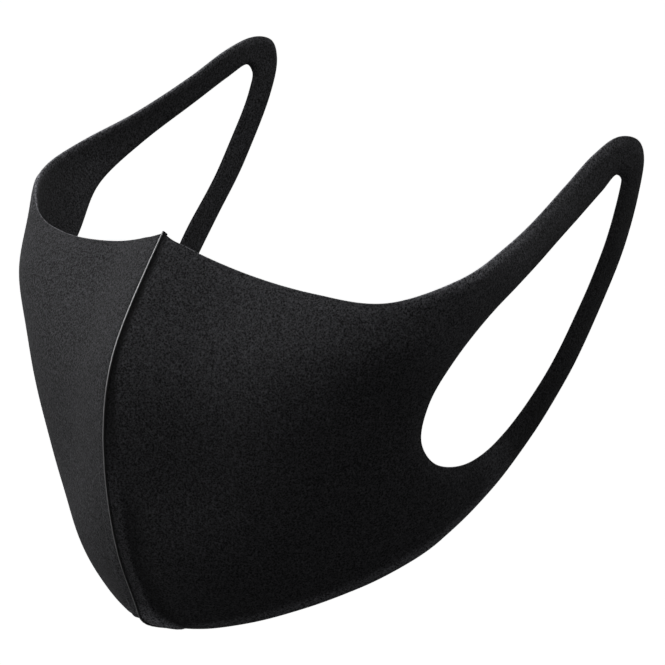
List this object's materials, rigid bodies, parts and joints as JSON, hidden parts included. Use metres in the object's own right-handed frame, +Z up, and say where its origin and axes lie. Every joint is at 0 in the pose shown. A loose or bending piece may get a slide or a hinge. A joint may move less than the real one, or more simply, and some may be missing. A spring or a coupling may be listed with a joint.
{
  "type": "foam face mask",
  "caption": "Black moulded-foam face mask in its worn form: mirror-image panels, each with its ear loop cut in one piece, joined by a curved welded seam down the front.",
  "frame": {"origin": "top of the front seam, where the mask sits on the bridge of the nose, on the mid-plane of the face", "axes": "+Z up along the face, -Y forward out of the face, +X towards the wearer's left ear"},
  "size_m": [0.167, 0.1634, 0.1427],
  "materials": {
    "foam": "matte open-cell sponge",
    "weld": "matte, pressed smooth"
  },
  "bodies": {
    "root": {"left_panel": "foam", "right_panel": "foam", "centre_seam": "weld"}
  },
  "joints": []
}
